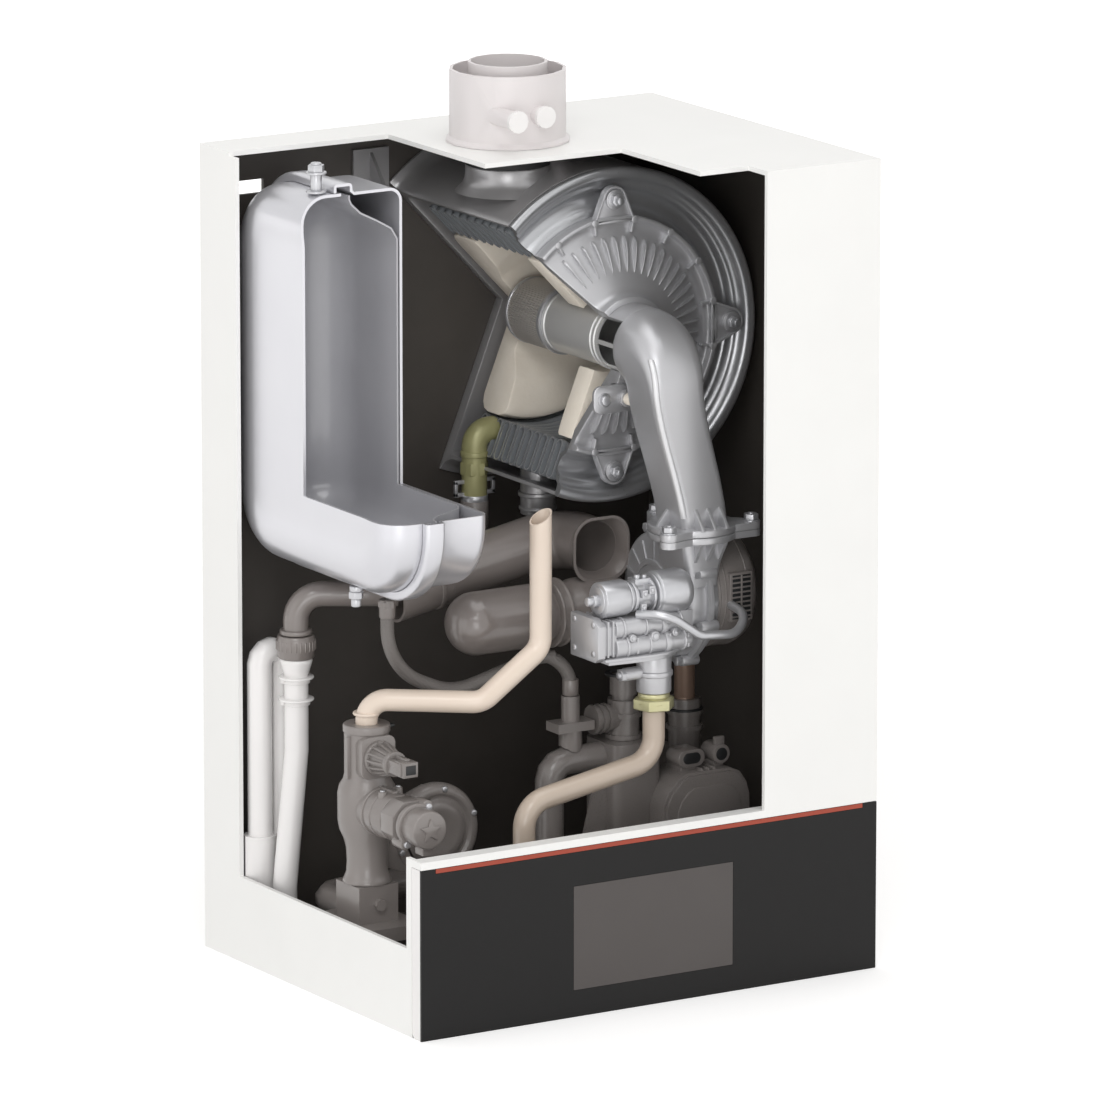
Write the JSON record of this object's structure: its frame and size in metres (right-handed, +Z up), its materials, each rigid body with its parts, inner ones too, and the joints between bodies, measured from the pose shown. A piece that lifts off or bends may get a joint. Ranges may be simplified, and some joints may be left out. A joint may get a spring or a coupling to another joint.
{
  "type": "wall-hung gas boiler",
  "caption": "Wall-hung condensing gas boiler, cut open to show its heat exchanger, burner, fan, gas valve, expansion vessel, pump and water block.",
  "frame": {"origin": "centre of the rear wall's back face, on the wall that the boiler hangs on", "axes": "+X to the viewer's right when facing the front, +Y into the wall, +Z up; the front faces -Y"},
  "size_m": [0.45, 0.36, 0.768],
  "materials": {
    "beige_pipe": "satin",
    "black_glass": "polished",
    "black_plastic": "matt",
    "black_rubber": "matt",
    "block_plastic": "matt",
    "brass": "satin",
    "cast_alloy": "as cast",
    "copper_pipe": "dull copper",
    "dark_plastic": "matt",
    "dark_steel": "satin",
    "display_glass": "polished",
    "duct_plastic": "satin",
    "gas_pipe_paint": "satin",
    "grey_rubber": "matt",
    "hose_rubber": "satin",
    "insulation": "fibrous",
    "olive_brass": "dull",
    "red_strip": "satin",
    "stainless": "brushed",
    "vessel_paint": "gloss",
    "white_paint": "satin",
    "white_plastic": "satin",
    "zinc_steel": "zinc plated"
  },
  "bodies": {
    "boiler": {"rear_wall": "white_paint", "left_panel": "white_paint", "right_panel": "white_paint", "top_panel": "white_paint", "base_pan": "white_paint", "front_cover": "white_paint", "flue_collar": "white_plastic", "flue_pipe": "white_plastic", "flue_adapter": "black_rubber", "drum_shell": "dark_steel", "coil": "dark_steel", "rear_insulation": "insulation", "front_insulation": "insulation", "front_plate": "stainless", "burner_door": "cast_alloy", "burner_mesh": "stainless", "mixing_tube": "dark_steel", "inlet_elbow": "cast_alloy", "ignition_electrode": "cast_alloy", "fan_volute": "cast_alloy", "fan_motor": "dark_plastic", "gas_valve": "cast_alloy", "valve_coil": "zinc_steel", "gas_union": "brass", "gas_pipe": "gas_pipe_paint", "impulse_tube": "zinc_steel", "upper_duct": "duct_plastic", "intake_silencer": "duct_plastic", "vessel_left_shell": "vessel_paint", "vessel_right_shell": "vessel_paint", "vessel_membrane": "grey_rubber", "vessel_plug": "zinc_steel", "charging_valve": "zinc_steel", "drain_elbow": "duct_plastic", "drain_nut": "duct_plastic", "siphon_main_pipe": "white_plastic", "siphon_loop_pipe": "white_plastic", "hydraulic_base": "block_plastic", "diverter_body": "block_plastic", "diverter_actuator": "block_plastic", "flow_sensor": "block_plastic", "bypass_housing": "dark_plastic", "flow_pipe": "beige_pipe", "pump_manifold": "dark_plastic", "air_vent": "dark_plastic", "pump_body": "dark_plastic", "pump_control_box": "dark_plastic", "hose_connector": "block_plastic", "vessel_hose": "hose_rubber", "flow_riser": "copper_pipe", "safety_elbow": "olive_brass", "drum_bracket": "beige_pipe"},
    "control_panel": {"panel_carrier": "white_plastic", "panel_glass": "black_glass", "display_window": "display_glass", "light_strip": "red_strip"},
    "fan_rotor": {"fan_wheel": "zinc_steel"},
    "pump_rotor": {"pump_impeller": "black_plastic"},
    "left_cap": {"test_cap_left": "white_plastic"},
    "right_cap": {"test_cap_right": "white_plastic"}
  },
  "joints": [
    {"name": "panel_hinge", "type": "hinge", "parent": "boiler", "child": "control_panel", "pos_m": [0, -0.353, -0.344], "axis": [1, 0, 0], "range_deg": [0, 90]},
    {"name": "fan_spin", "type": "hinge", "parent": "boiler", "child": "fan_rotor", "pos_m": [0.092, -0.24, -0.028], "axis": [1, 0, 0], "continuous": true},
    {"name": "pump_spin", "type": "hinge", "parent": "boiler", "child": "pump_rotor", "pos_m": [0.1383, -0.18, -0.225], "axis": [0, 1, 0], "continuous": true},
    {"name": "left_cap_pull", "type": "slide", "parent": "boiler", "child": "left_cap", "axis": [0, -1, 0], "range_m": [0, 0.012]},
    {"name": "right_cap_pull", "type": "slide", "parent": "boiler", "child": "right_cap", "axis": [0, -1, 0], "range_m": [0, 0.012]}
  ]
}
